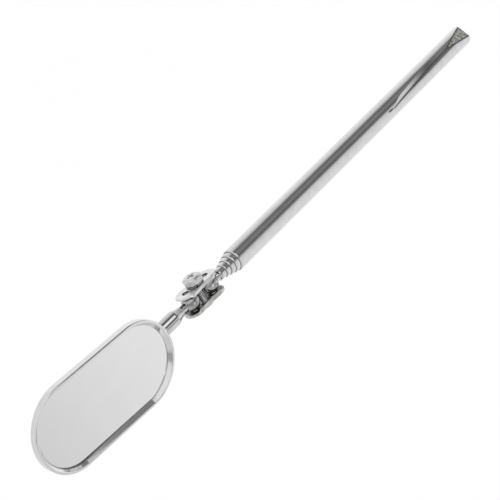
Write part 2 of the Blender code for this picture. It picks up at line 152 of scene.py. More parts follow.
PLATE_ROUND = 0.42 * MM          # rounding of the plates' outer edges
FLANGE_BRIM = 0.12 * MM          # rounding of the turned-in edges' ends
FLANGE_FADE = 1.1 * MM           # over this length each turned-in edge fades out
SEAT_HOLE_BEVEL = 0.22 * MM
SCREW_HOLE_BEVEL = 0.12 * MM
HEX_CORNER = HEX_FLATS / 2 / cos(pi / 6)
CHAMFER_SLOPE = tan(radians(32.0))
RECESS_DEPTH = 1.25 * MM
DOME_HEIGHT = 0.55 * MM
DOME = ((0.25, 0.9), (0.55, 0.84), (0.8, 0.76), (0.95, 0.64), (1.0, 0.5))
WASHER_SPLIT = radians(118.0)    # where the washer is cut
WASHER_GAP = radians(9.0)
WASHER_EDGE = 0.06 * MM

NECK_RADIUS = 1.5 * MM
DISH_GAP = 0.07 * MM
NECK_END = 6.0 * MM              # distances from the mirror ball's centre
NECK_END_RADIUS = 1.8 * MM
CONE_END = 8.3 * MM
CONE_END_RADIUS = 2.55 * MM
COLLAR_RADIUS = 2.65 * MM
END_RADIUS = 12.7 * MM           # the visible glass's round ends
HALF_STRAIGHT = 14.75 * MM
HEAD_TURN = radians(-4.0)        # the mirror sits a little askew on its stem
LIP_WIDTH = 1.9 * MM
FRAME_FLOOR = 0.3 * MM
POCKET = 0.65 * MM               # the pocket reaches this far under the lip
BACK_ROLL = 0.7 * MM             # roundings of the frame's outer side, at its back and its lip
LIP_ROLL = 0.8 * MM
CREST_BACK = 0.95 * MM           # from the outer side in to the lip's crest
CREST_ROLL = 0.45 * MM
RING_INSET = 3.4 * MM            # the shallow ring pressed into the back, from the glass outline in
RING_DEPTH = 0.1 * MM
SEAM_SHADE_REACH = 0.36 * MM           # painted shade reaches this far up the lip from the glass
BRAZE_GAP = 0.1 * MM
LUG_WIDTH = 3.8 * MM
LUG_LENGTH = 2.6 * MM
LUG_TOP = 1.5 * MM               # above the frame's back

ROUND = 128                      # facets around a tube
SMALL_ROUND = 72                 # facets around small turned pieces, a multiple of six
TAIL_ROUND = 192                 # facets around the formed tail, a multiple of eight
TIP_SOFT = 0.2 * MM              # rounding of the tail's end

EDGE_ANGLE = 32.0                # degrees between two faces, beyond which the edge is drawn sharp
GLASS_ANGLE = 20.0
CREASE_ANGLE = 22.0
BOLT_ANGLE = 30.0
FOLD_ANGLE = 40.0
LUG_ANGLE = 50.0
SMOOTH_ANGLE = 60.0


# ---- outlines ----------------------------------------------------------------------------------
def filleted(points, closed=False, steps=5):
    """Round the corners of a path of (u, v, radius) points."""
    made = []
    count = len(points)
    for i, (u, v, radius) in enumerate(points):
        here = Vector((u, v))
        ends = (i == 0 or i == count - 1) and not closed
        if radius <= 0.0 or ends:
            made.append(here)
            continue
        back = Vector(points[i - 1][:2]) - here
        ahead = Vector(points[(i + 1) % count][:2]) - here
        half = back.angle(ahead) / 2
        reach = min(radius / tan(half), back.length * 0.49, ahead.length * 0.49)
        radius = reach * tan(half)
        centre = here + (back.normalized() + ahead.normalized()).normalized() * (radius / sin(half))
        start = here + back.normalized() * reach - centre
        stop = here + ahead.normalized() * reach - centre
        sweep = start.angle_signed(stop)
        for k in range(steps + 1):
            turned_by = Matrix.Rotation(-sweep * k / steps, 2)
            made.append(centre + turned_by @ start)
    return made


def circle_points(radius, x, count=ROUND, start=0.0):
    """A ring about the X axis."""
    angles = [start + 2 * pi * i / count for i in range(count)]
    return [Vector((x, radius * cos(a), radius * sin(a))) for a in angles]


def ring_y(radius, height, x=0.0, count=SMALL_ROUND):
    """A ring about the clamp's screw direction."""
    angles = [2 * pi * i / count for i in range(count)]
    return [Vector((x + radius * cos(a), height, radius * sin(a))) for a in angles]


# ---- meshes ------------------------------------------------------------------------------------
def skin(rings, joined=False):
    """Join rings of points with quads, and cap them; joined runs the last ring back to the first."""
    bm = bmesh.new()
    loops = [[bm.verts.new(point) for point in ring] for ring in rings]
    pairs = list(zip(loops[:-1], loops[1:]))
    if joined:
        pairs.append((loops[-1], loops[0]))
    for first, second in pairs:
        for i in range(len(first)):
            j = (i + 1) % len(first)
            bm.faces.new((first[i], first[j], second[j], second[i]))
    if not joined:
        bm.faces.new(loops[0])
        bm.faces.new(loops[-1])
    return bm


def lathe(path, count=ROUND, joined=False):
    """A body turned about X from (x, radius) points."""
    return skin([circle_points(radius, x, count) for x, radius in path], joined=joined)


def piece(name, bm, finish, body, nodes, place=None, sharp=EDGE_ANGLE, weighted=False,
          second=None):
    """A shown piece that rides on a body and stands for CAD nodes; second is its inner finish."""
    if place is not None:
        bm.transform(place)
    bmesh.ops.recalc_face_normals(bm, faces=bm.faces)
    mesh = bpy.data.meshes.new(name)
    bm.to_mesh(mesh)
    bm.free()
    mesh.shade_smooth()
    mesh.set_sharp_from_angle(angle=radians(sharp))
    mesh.materials.append(finish)
    if second is not None:
        mesh.materials.append(second)
    made = bpy.data.objects.new(name, mesh)
    bpy.context.scene.collection.objects.link(made)
    if weighted:
        even = made.modifiers.new("even_normals", "WEIGHTED_NORMAL")
        even.keep_sharp = True
    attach(made, body)
    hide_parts(*nodes)
    return made


def hidden(name, bm):
    """A cutter; it is removed once the cut is made."""
    bmesh.ops.recalc_face_normals(bm, faces=bm.faces)
    mesh = bpy.data.meshes.new(name)
    bm.to_mesh(mesh)
    bm.free()
    made = bpy.data.objects.new(name, mesh)
    bpy.context.scene.collection.objects.link(made)
    return made


def cut_from(bm, cutters):
    """Subtract closed bodies from bm and return the result."""
    target = hidden("cut_target", bm)
    tools = [hidden("cutter", cutter) for cutter in cutters]
    for tool in tools:
        modifier = target.modifiers.new("cut", "BOOLEAN")
        modifier.operation = "DIFFERENCE"
        modifier.solver = "EXACT"
        modifier.object = tool
    depsgraph = bpy.context.evaluated_depsgraph_get()
    result = bmesh.new()
    result.from_mesh(target.evaluated_get(depsgraph).to_mesh())
    for item in [target] + tools:
        bpy.data.objects.remove(item)
    return result


# ---- handle ------------------------------------------------------------------------------------
def share(value, start, end):
    """How far value is from start to end, held between 0 and 1."""
    return min(max((value - start) / (end - start), 0.0), 1.0)


def groove_angle(x):
    """Where the first groove lies about the axis; it curls round a little on its way to the tip."""
    left = (1.0 - share(x, FORM_START, PRESS_START)) ** GROOVE_CURVE
    turned = (PRESS_ANGLE - GROOVE_ANGLE_END) * share(x, PRESS_START, HANDLE_LENGTH)
    return GROOVE_ANGLE_END + (GROOVE_ANGLE_START - GROOVE_ANGLE_END) * left + turned


def from_groove(x, angle):
    """Angle from the nearer of the two grooves, which lie on opposite sides."""
    return (angle - groove_angle(x) + pi / 2) % pi - pi / 2


def chord_radius(angle, low, end_angle, high):
    """Radius of the straight line from the bottom of a groove, at angle 0, up to its edge."""
    return low * high * sin(end_angle) / (low * sin(angle) + high * sin(end_angle - angle))


def nick_share(x, angle):
    """1 in the middle of the small dent before a groove, 0 outside it."""
    along = share(x, NICK_START, NICK_END)
    side = (angle - NICK_ANGLE - radians(2.0) * along + pi / 2) % pi - pi / 2
    across = side * OUTER_RADIUS / (0.34 * MM)
    return max(0.0, 1.0 - across * across) * sin(pi * along) ** 0.5


def tail_radius(x, angle):
    """Outer radius of the formed tail at x from the rim and an angle about the axis."""
    formed = share(x, FORM_START, FORM_FULL)
    depth = GROOVE_DEPTH * formed * (1.0 - share(x, FADE_START, HANDLE_LENGTH - TIP_PLUG))
    side = from_groove(x, angle)
    width = formed * (GROOVE_AFTER if side > 0.0 else GROOVE_BEFORE)
    outside = OUTER_RADIUS - NICK_DEPTH * nick_share(x, angle)
    if abs(side) < width and side > 0.0:
        outside = OUTER_RADIUS - depth * (1.0 - side / width) ** 2
    elif abs(side) < width:
        outside = chord_radius(-side, OUTER_RADIUS - depth, width, OUTER_RADIUS)
    pressed = OUTER_RADIUS * cos(PRESS_HALF * share(x, PRESS_START, HANDLE_LENGTH))
    return min(outside, pressed / cos(side))


def tail_ring(x, inset):
    """A ring of the tail whose points follow the grooves round as they turn."""
    points = []
    for i in range(TAIL_ROUND):
        angle = groove_angle(x) + 2 * pi * i / TAIL_ROUND
        radius = tail_radius(x, angle) - inset
        points.append(Vector((x, radius * cos(angle), radius * sin(angle))))
    return points


def mark_throat(bm, neck, front):
    """Store the painted shade where a rolled front edge meets the tube inside it."""
    painted_shade = bm.verts.layers.float.new("painted_shade")
    for vert in bm.verts:
        radius = (vert.co.y ** 2 + vert.co.z ** 2) ** 0.5
        near = 0.6 * share(radius, neck + 0.28 * MM, neck + 0.05 * MM)
        vert[painted_shade] = near * share(vert.co.x, front + MM, front + 0.6 * MM)


def mark_tail(bm):
    """Store where the tail is pressed flat, and the painted shade along its creases, round the pressed
    flats and in the small dents.
    """
    pressed = bm.verts.layers.float.new("pressed")
    painted_shade = bm.verts.layers.float["painted_shade"]
    for vert in bm.verts:
        if vert.co.x < NICK_START - MM:
            continue
        x, angle = vert.co.x, atan2(vert.co.z, vert.co.y)
        side = abs(from_groove(x, angle)) * OUTER_RADIUS
        inside = PRESS_HALF * share(x, PRESS_START, HANDLE_LENGTH) * OUTER_RADIUS - side
        vert[pressed] = share(inside, -0.05 * MM, 0.15 * MM) * share(x, PRESS_START, PRESS_START + MM)
        line = share(side, 0.42 * MM, 0.1 * MM) * share(x, FORM_START, FORM_START + MM)
        if x > PRESS_START:
            rim = min(abs(inside), HANDLE_LENGTH - x)
            line = share(rim, 0.42 * MM, 0.1 * MM) * share(inside, -0.42 * MM, -0.2 * MM)
        vert[painted_shade] = max(line, nick_share(x, angle) ** 0.5)


def rolled_front(outer, neck, front):
    """Path over a rolled-in front edge, from the tube's side round to its throat."""
    steps = 10
    roll = outer - neck
    path = []
    for k in range(steps + 1):
        angle = pi / 2 + pi / 2 * k / steps
        path.append((front + roll + roll * cos(angle), neck + roll * sin(angle)))
    return path


def spaced(start, stop, count):
    """count even steps from start, leaving out stop."""
    return [start + (stop - start) * k / count for k in range(count)]


def make_outer_tube(finish):
    """The handle: rolled front edge, straight body, grooved and pressed tail, closed by its plug."""
    neck = SECTION_RADIUS[1] + SEAT
    roll = OUTER_RADIUS - neck
    tail = spaced(NICK_START - 0.3 * MM, FORM_START, 16) + spaced(FORM_START, FORM_FULL, 18)
    tail += spaced(FORM_FULL, PRESS_START, 60) + spaced(PRESS_START, HANDLE_LENGTH - TIP_SOFT, 44)
    front = [(roll + WALL, OUTER_RADIUS - WALL), (roll, neck)]
    front += reversed(rolled_front(OUTER_RADIUS, neck, 0.0))
    rings = [tail_ring(HANDLE_LENGTH - TIP_PLUG, WALL)]
    rings += [tail_ring(x, WALL) for x in (PRESS_START, FORM_START)]
    rings += [circle_points(radius, x, TAIL_ROUND, GROOVE_ANGLE_START) for x, radius in front]
    rings += [tail_ring(x, 0.0) for x in tail]
    rings += [tail_ring(HANDLE_LENGTH - TIP_SOFT, 0.0), tail_ring(HANDLE_LENGTH, TIP_SOFT)]
    bm = skin(rings)
    mark_throat(bm, neck, 0.0)
    mark_tail(bm)
    piece("tube_outer", bm, finish, "handle", ["outer_tube"], HANDLE_PLACE, CREASE_ANGLE,
          weighted=True)


def make_section(index, finish):
    """A telescoping section, open at the back, its front edge rolled in onto the next one."""
    outer = SECTION_RADIUS[index]
    front = -RIM_STEP * index
    neck = SECTION_RADIUS[index + 1] + SEAT
    path = rolled_front(outer, neck, front)
    roll = outer - neck
    path += [Vector((front + roll, neck)), Vector((front + roll + WALL, outer - WALL))]
    path += [Vector((SECTION_BACK, outer - WALL)), Vector((SECTION_BACK, outer))]
    number = index + 1
    body = f"section_{number}"
    bm = lathe(path, joined=True)
    mark_throat(bm, neck, front)
    piece(f"tube_{number}", bm, finish, body, [body], HANDLE_PLACE, weighted=True)


def make_rod(finish):
    """The innermost tube, open at both ends."""
    outer = SECTION_RADIUS[4]
    low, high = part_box("section_5")
    bore = outer - WALL
    soft = 0.12 * MM
    path = [(low.x, bore, soft), (low.x, outer, soft), (high.x, outer, soft), (high.x, bore, soft)]
    place = Matrix.Translation((0.0, 0.0, AXIS_Z))
    bm = lathe(filleted(path, closed=True), joined=True)
    piece("tube_5", bm, finish, "rod", ["section_5"], place, weighted=True)


def neck_dish(direction):
    """Path over the hollow end of a neck, concentric with its ball at x = 0."""
    hollow = BALL_RADIUS + DISH_GAP
    half = asin(NECK_RADIUS / hollow)
    steps = 8
    angles = [half * k / steps for k in range(1, steps + 1)]
    return [(direction * hollow * cos(a), hollow * sin(a), 0.0) for a in angles]


def make_rod_neck(finish):
    """The plug in the innermost tube's end, necked down to the ball; x from the ball's centre."""
    start = HANDLE_BALL.x
    plug_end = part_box("rod_neck")[1].x - start
    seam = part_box("section_5")[0].x - start - SEAT
    outer = SECTION_RADIUS[4]
    plug = outer - WALL - 0.02 * MM
    path = neck_dish(1)
    path += [(seam - 0.85 * MM, NECK_RADIUS, 0.3 * MM), (seam - 0.45 * MM, outer - 0.06 * MM, 0.2 * MM)]
    path += [(seam, outer, 0.08 * MM), (seam, plug, 0.0), (plug_end, plug, 0.0)]
    bm = lathe(filleted(path), SMALL_ROUND)
    piece("rod_end", bm, finish, "rod", ["rod_neck"], HANDLE_BALL_PLACE, weighted=True)


# ---- ball joints -------------------------------------------------------------------------------
def make_ball(name, centre, finish):
    """A turned ball: a small flat is left at the pole that faces along the handle."""
    steps = 40
    flat = 0.32 * MM
    start = asin(flat / BALL_RADIUS)
    path = []
    for k in range(steps + 1):
        angle = start + (pi - 2 * start) * k / steps
        path.append((BALL_RADIUS * cos(angle), BALL_RADIUS * sin(angle)))
    bm = lathe(path, 96)
    place = Matrix.Translation(centre)
    piece(f"{name}_turned", bm, finish, name, [name], place, SMOOTH_ANGLE)


def make_stem_neck(finish):
    """The neck from the mirror ball out to the cone's broad end; x from the ball's centre."""
    path = neck_dish(-1)
    path += [(-4.3 * MM, NECK_RADIUS, 0.6 * MM), (-NECK_END, NECK_END_RADIUS, 0.8 * MM)]
    path += [(-CONE_END, CONE_END_RADIUS, 0.05 * MM)]
    bm = lathe(filleted(path), SMALL_ROUND)
    piece("stem_cone", bm, finish, "stem_neck", ["stem_neck"], MIRROR_BALL_PLACE,
          weighted=True)


def lug_ring(x, top, half):
    """A rounded-square ring about the collar's axis, drawn up to a height on the glass's side."""
    points = []
    for i in range(SMALL_ROUND):
        angle = 2 * pi * i / SMALL_ROUND
        squared = (abs(cos(angle)) ** 4 + abs(sin(angle)) ** 4) ** -0.25
        reach = top if sin(angle) > 0.0 else COLLAR_RADIUS * 0.7
        points.append(Vector((x, half * squared * cos(angle), reach * squared * sin(angle))))
    return points


def make_lug(end):
    """The brazed block between the collar and the frame's end, faired down onto the collar."""
    steps = 14
    rings = []
    for k in range(steps + 1):
        along = k / steps
        top = COLLAR_RADIUS * 0.8 + (LUG_TOP - AXIS_Z - COLLAR_RADIUS * 0.8) * (1.0 - along) ** 2.2
        half = LUG_WIDTH / 2 * (1.0 - 0.12 * along)
        rings.append(lug_ring(end + LUG_LENGTH * along, top, half))
    low = 0.25 * MM
    rings.insert(0, lug_ring(end - BRAZE_GAP * 0.9, LUG_TOP - AXIS_Z - low, LUG_WIDTH / 2 - low))
    return skin(rings)


def make_collar(finish):
    """Turned collar, and the lug that carries it on the frame's end."""
    start = -CONE_END - SEAT
    end = HALF_STRAIGHT + END_RADIUS + LIP_WIDTH + BRAZE_GAP - MIRROR_BALL.x
    soft = 0.25 * MM
    path = [(start, CONE_END_RADIUS - 0.3 * MM, 0.0), (start, COLLAR_RADIUS - 0.02 * MM, 0.12 * MM)]
    path += [(start - 0.55 * MM, COLLAR_RADIUS, 0.05 * MM)]
    path += [(end, COLLAR_RADIUS, soft), (end, COLLAR_RADIUS - 2 * soft, 0.0)]
    bm = lathe(filleted(path), SMALL_ROUND)
    piece("stem_collar_turned", bm, finish, "mirror_head", ["stem_collar"],
          MIRROR_BALL_PLACE, weighted=True)
    piece("stem_lug_brazed", make_lug(end), finish, "mirror_head", ["stem_collar"],
          MIRROR_BALL_PLACE, LUG_ANGLE)


# ---- clamp -------------------------------------------------------------------------------------
def plate_half_width(x):
    """Half-width of the dog-bone plate at x, away from its round ends."""
    half = BALL_SPACING / 2
    return PLATE_END_RADIUS - (PLATE_END_RADIUS - PLATE_WAIST) * (0.5 + 0.5 * cos(pi * x / half))


def plate_loop(inset):
    """Dog-bone outline in the clamp's X-Z plane, as (x, z), running once around."""
    end_steps, side_steps = 28, 10
    half = BALL_SPACING / 2
    radius = PLATE_END_RADIUS - inset
    quarter = [(half + radius * cos(pi / 2 * k / end_steps), radius * sin(pi / 2 * k / end_steps))
               for k in range(end_steps + 1)]
    for k in range(1, side_steps + 1):
        x = half * (1 - k / side_steps)
        quarter.append((x, plate_half_width(x) - inset))
    upper = quarter + [(-x, z) for x, z in reversed(quarter[:-1])]
    return upper + [(x, -z) for x, z in reversed(upper[1:-1])]


def flange_reach(x, outer):
    """How deep the turned-in edge goes at x: full along the sides, fading out round the ends."""
    past = (abs(x) - BALL_SPACING / 2 - MOUTH_START) / FLANGE_FADE
    keep = 1.0 - min(max(past, 0.0), 1.0)
    keep = keep * keep * (3 - 2 * keep)
    return outer - PLATE_FLOOR + (PLATE_FLOOR - PLATE_INNER) * keep


def fill_flat(bm, loops):
    """Fill the flat region between one outer loop and its holes."""
    edges = []
    for loop in loops:
        for first, second in zip(loop, loop[1:] + loop[:1]):
            edges.append(bm.edges.get((first, second)) or bm.edges.new((first, second)))
    bmesh.ops.triangle_fill(bm, use_beauty=True, use_dissolve=False, edges=edges)


def band(bm, first, second, inner=False):
    """Quads between two loops of vertices; inner faces take the piece's second finish."""
    for i in range(len(first)):
        j = (i + 1) % len(first)
        face = bm.faces.new((first[i], first[j], second[j], second[i]))
        face.material_index = 1 if inner else 0


def loop_at(bm, outline, heights):
    """A loop of vertices over an (x, z) outline; heights is one value or one for each point."""
    if not isinstance(heights, list):
        heights = [heights] * len(outline)
    return [bm.verts.new((x, y, z)) for (x, z), y in zip(outline, heights)]


def hole_loops(bm, radius, x, outer, floor, bevel):
    """Wall of a punched hole with a rolled edge on the outer face, as its two end loops."""
    steps = 4
    count = 48
    loops = []
    for k in range(steps + 1):
        angle = pi / 2 * k / steps
        ring = ring_y(radius + bevel * (1 - sin(angle)), outer - bevel * (1 - cos(angle)), x, count)
        loops.append([bm.verts.new(point) for point in ring])
    loops.append([bm.verts.new(point) for point in ring_y(radius, floor, x, count)])
    for k, (first, second) in enumerate(zip(loops[:-1], loops[1:])):
        band(bm, first, second, k >= 2)
    return loops[0], loops[-1]


def make_plate(name, side, outer, finish, inner_finish):
    """A stamped plate: rounded outer edge, turned-in sides, and punched holes."""
    bm = bmesh.new()
    steps = 7
    floor = PLATE_FLOOR
    loops = []
    for k in range(steps + 1):
        angle = pi / 2 * k / steps
        outline = plate_loop(PLATE_ROUND * (1 - sin(angle)))
        loops.append(loop_at(bm, outline, outer - PLATE_ROUND * (1 - cos(angle))))
    full = plate_loop(0.0)
    brim = FLANGE_BRIM
    deep = [outer - flange_reach(x, outer) for x, z in full]
    loops.append(loop_at(bm, full, [y + brim for y in deep]))
    loops.append(loop_at(bm, plate_loop(brim), deep))
    loops.append(loop_at(bm, plate_loop(FLANGE_THICKNESS - brim), deep))
    loops.append(loop_at(bm, plate_loop(FLANGE_THICKNESS), [min(y + brim, floor) for y in deep]))
    inner = plate_loop(FLANGE_THICKNESS + 0.02 * MM)
    loops.append(loop_at(bm, inner, floor))
    # faces inside the clamp take the second finish, which is painted dark as shade
    rolled = steps + 3
    for k, (first, second) in enumerate(zip(loops[:-1], loops[1:])):
        band(bm, first, second, k >= rolled)
    tops = [loops[0]]
    floors = [loops[-1]]
    holes = ((SEAT_HOLE_RADIUS, -BALL_SPACING / 2, SEAT_HOLE_BEVEL),
             (SEAT_HOLE_RADIUS, BALL_SPACING / 2, SEAT_HOLE_BEVEL),
             (SCREW_RADIUS + BORE_CLEARANCE, 0.0, SCREW_HOLE_BEVEL))
    for radius, x, bevel in holes:
        top, bottom = hole_loops(bm, radius, x, outer, floor, bevel)
        tops.append(top)
        floors.append(bottom)
    fill_flat(bm, tops)
    above = set(bm.faces)
    fill_flat(bm, floors)
    for face in set(bm.faces) - above:
        face.material_index = 1
    if side < 0:
        bmesh.ops.scale(bm, vec=(1.0, -1.0, 1.0), verts=bm.verts)
    piece(f"{name}_stamped", bm, finish, "clamp", [name], CLAMP_PLACE, FOLD_ANGLE,
          weighted=True, second=inner_finish)


def hex_ring(height, limit):
    """Points around a hexagon whose corners are turned down to a circle of radius limit."""
    apothem = HEX_FLATS / 2
    points = []
    for i in range(SMALL_ROUND):
        angle = 2 * pi * i / SMALL_ROUND
        from_flat = angle % (pi / 3) - pi / 6
        radius = min(apothem / cos(from_flat), limit)
        points.append(Vector((radius * cos(angle), height, radius * sin(angle))))
    return points


def chamfer_rings(face, inward):
    """Rings from a hexagon's chamfered face down to where its corners are whole; inward is +1 or -1."""
    steps = 8
    smallest = HEX_FLATS / 2 * 0.985
    rings = []
    for k in range(steps + 1):
        limit = smallest + (HEX_CORNER - smallest) * k / steps
        rings.append(hex_ring(face + inward * (limit - smallest) * CHAMFER_SLOPE, limit))
    return rings


def thread_rings(low, high, core, crest, pitch):
    """Rings of a helical thread along the screw direction, tapering at its two ends."""
    per_pitch = 8
    count = int((high - low) / pitch * per_pitch)
    rings = []
    for k in range(count + 1):
        height = low + (high - low) * k / count
        fade = min(1.0, (height - low) / pitch, (high - height) / pitch)
        ring = []
        for i in range(SMALL_ROUND):
            angle = 2 * pi * i / SMALL_ROUND
            phase = (height / pitch - angle / (2 * pi)) % 1.0
            lift = 1.0 - abs(2 * phase - 1.0)
            radius = core + (crest - core) * lift * fade
            ring.append(Vector((radius * cos(angle), height, radius * sin(angle))))
        rings.append(ring)
    return rings


def recess_wing(top, depth, along_x):
    """One wing of the cross recess, narrower and shorter towards its bottom."""
    rings = []
    for height, length, width in ((top + 0.4 * MM, 1.75, 0.46), (top - depth, 0.8, 0.27)):
        half_x, half_z = (length, width) if along_x else (width, length)
        corners = ((-half_x, -half_z), (half_x, -half_z), (half_x, half_z), (-half_x, half_z))
        rings.append([Vector((x * MM, height, z * MM)) for x, z in corners])
    return skin(rings)


def make_screw(finish):
    """Hexagon head with a turned rim, a domed top and a cross recess, on a threaded shank."""
    seat = UPPER_OUTER + SEAT + WASHER_THICKNESS + SEAT
    top = seat + HEAD_HEIGHT
    tip = -(LOWER_OUTER + SEAT + NUT_HEIGHT + THREAD_END)
    core = SCREW_RADIUS - 0.3 * MM
    rings = [ring_y(core - 0.25 * MM, tip), ring_y(core, tip + 0.25 * MM)]
    rings += thread_rings(tip + 0.3 * MM, seat - 0.7 * MM, core, SCREW_RADIUS, THREAD_PITCH)
    rings += [ring_y(core, seat - 0.3 * MM), ring_y(SCREW_RADIUS, seat)]
    rings += [ring_y(HEX_FLATS / 2 * 0.94, seat), ring_y(HEX_FLATS / 2 * 0.94, seat + 0.12 * MM)]
    rings += chamfer_rings(seat + 0.12 * MM, 1)
    shoulder = top - DOME_HEIGHT
    rings += list(reversed(chamfer_rings(shoulder, -1)))
    for share_up, radius in DOME:
        rings.append(ring_y(HEX_FLATS / 2 * radius, shoulder + (top - shoulder) * share_up))
    wings = [recess_wing(top, RECESS_DEPTH, along_x) for along_x in (True, False)]
    bm = cut_from(skin(rings), wings)
    piece("clamp_screw_threaded", bm, finish, "clamp_screw", ["clamp_screw"], CLAMP_PLACE,
          BOLT_ANGLE)


def make_nut(finish):
    """Thin round nut pressed into the lower plate, its bore countersunk at the screw's tip."""
    top = -(LOWER_OUTER + SEAT)
    bottom = top - NUT_HEIGHT
    bore = SCREW_RADIUS + BORE_CLEARANCE
    path = [(bore, top, 0.0), (NUT_RADIUS, top, 0.06 * MM), (NUT_RADIUS, bottom, 0.28 * MM)]
    path += [(bore + 0.2 * MM, bottom, 0.06 * MM), (bore, bottom + 0.2 * MM, 0.0)]
    rings = [ring_y(radius, height) for radius, height in filleted(path, closed=True)]
    piece("clamp_nut_pressed", skin(rings, joined=True), finish, "clamp", ["clamp_nut"],
          CLAMP_PLACE)


def make_washer(finish):
    """Split lock washer: one turn of square wire, its two ends sprung a little apart."""
    low = UPPER_OUTER + SEAT
    bore = SCREW_RADIUS + BORE_CLEARANCE
    wire = WASHER_RADIUS - bore
    turns = 96
    thick = WASHER_THICKNESS * 0.86
    spring = WASHER_THICKNESS - thick
    corners = ((bore, 0.0), (bore, thick), (bore + wire, thick), (bore + wire, 0.0))
    section = filleted([(r, y, WASHER_EDGE) for r, y in corners], closed=True, steps=2)
    rings = []
    for k in range(turns + 1):
        angle = WASHER_SPLIT + WASHER_GAP / 2 + (2 * pi - WASHER_GAP) * k / turns
        lift = spring * k / turns
        rings.append([Vector((r * cos(angle), low + lift + y, r * sin(angle))) for r, y in section])
    piece("lock_washer_split", skin(rings), finish, "lock_washer", ["lock_washer"],
          CLAMP_PLACE)


# ---- mirror head -------------------------------------------------------------------------------
def oval(offset, height):
    """Stadium ring around the glass outline, grown by offset."""
    steps = 48
    radius = END_RADIUS + offset
    turn = Matrix.Rotation(HEAD_TURN, 3, "Z")
    points = []
    for side in (1, -1):
        for i in range(steps + 1):
            angle = -pi / 2 + pi * i / steps
            x = side * (HALF_STRAIGHT + radius * cos(angle))
            points.append(turn @ Vector((x, side * radius * sin(angle), height)))
    return points


def mark_seam(bm):
    """Store the painted shade along the seam between lip and glass; it is left out near the stem's end
    and grows stronger towards the far end.
    """
    painted_shade = bm.verts.layers.float.new("painted_shade")
    back = Matrix.Rotation(-HEAD_TURN, 3, "Z")
    for vert in bm.verts:
        place = back @ vert.co
        past = max(abs(place.x) - HALF_STRAIGHT, 0.0)
        offset = (past * past + place.y * place.y) ** 0.5 - END_RADIUS
        inside = share(offset, SEAM_SHADE_REACH, 0.2 * MM) * share(offset, -0.5 * MM, -0.2 * MM)
        clean = share(place.x, HALF_STRAIGHT + 2.0 * MM, HALF_STRAIGHT - 3.0 * MM)
        dimmer = 0.7 + 0.3 * share(place.x, 0.0, -HALF_STRAIGHT)
        vert[painted_shade] = inside * clean * dimmer * share(vert.co.z, FRAME_FLOOR, GLASS_TOP)


def make_frame(finish):
    """Pressed pan: rolled back edge, upright side, and a round lip that slopes in to the glass."""
    over = GLASS_TOP + SEAT
    lip = FRAME_TOP
    path = [(LIP_WIDTH - 0.8 * MM, 0.0, 0.0), (LIP_WIDTH, 0.0, BACK_ROLL), (LIP_WIDTH, lip, LIP_ROLL)]
    crest = LIP_WIDTH - CREST_BACK
    low = over + 0.12 * MM
    path += [(crest, lip, CREST_ROLL), (crest * 0.45, low + (lip - low) * 0.45, 0.0)]
    path += [(crest * 0.25, low + (lip - low) * 0.25, 0.0), (0.0, low, 0.06 * MM)]
    path += [(0.02 * MM, over, 0.0), (POCKET, over, 0.0), (POCKET, FRAME_FLOOR, 0.0)]
    rings = [oval(offset, height) for offset, height in filleted(path, steps=9)]
    ring = ((-0.5, 0.0), (-0.3, RING_DEPTH), (0.3, RING_DEPTH), (0.5, 0.0))
    back = [oval(across * MM - RING_INSET, height) for across, height in ring]
    bm = skin(back + rings)
    mark_seam(bm)
    piece("mirror_frame_pressed", bm, finish, "mirror_head", ["mirror_frame"],
          sharp=FOLD_ANGLE, weighted=True)


def make_glass(finish):
    """The flat mirror, its edges ground, seated in the pocket under the lip."""
    edge = POCKET - SEAT
    bevel = 0.1 * MM
    path = [(edge - 1.0 * MM, GLASS_LOW, 0.0), (edge, GLASS_LOW, bevel), (edge, GLASS_TOP, bevel)]
    path += [(edge - 1.0 * MM, GLASS_TOP, 0.0)]
    bm = skin([oval(offset, height) for offset, height in filleted(path, steps=3)])
    piece("mirror_glass_ground", bm, finish, "mirror_head", ["mirror_glass"],
          sharp=GLASS_ANGLE, weighted=True)


# ---- finishes ----------------------------------------------------------------------------------
class Tree:
    """Short names for the nodes that materials and the world share."""

    def __init__(self, owner):
        owner.use_nodes = True
        self.nodes = owner.node_tree.nodes
        self.links = owner.node_tree.links

    def math(self, operation, first, second):
        node = self.nodes.new("ShaderNodeMath")
        node.operation = operation
        for socket, value in zip(node.inputs, (first, second)):
            if isinstance(value, (int, float)):
                socket.default_value = value
            else:
                self.links.new(value, socket)
        return node.outputs["Value"]

    def blend(self, factor, first, second):
        """Blend two colour outputs by factor."""
        node = self.nodes.new("ShaderNodeMix")
        node.data_type = "RGBA"
        self.links.new(factor, node.inputs["Factor"])
        self.links.new(first, node.inputs["A"])
        self.links.new(second, node.inputs["B"])
        return node.outputs["Result"]


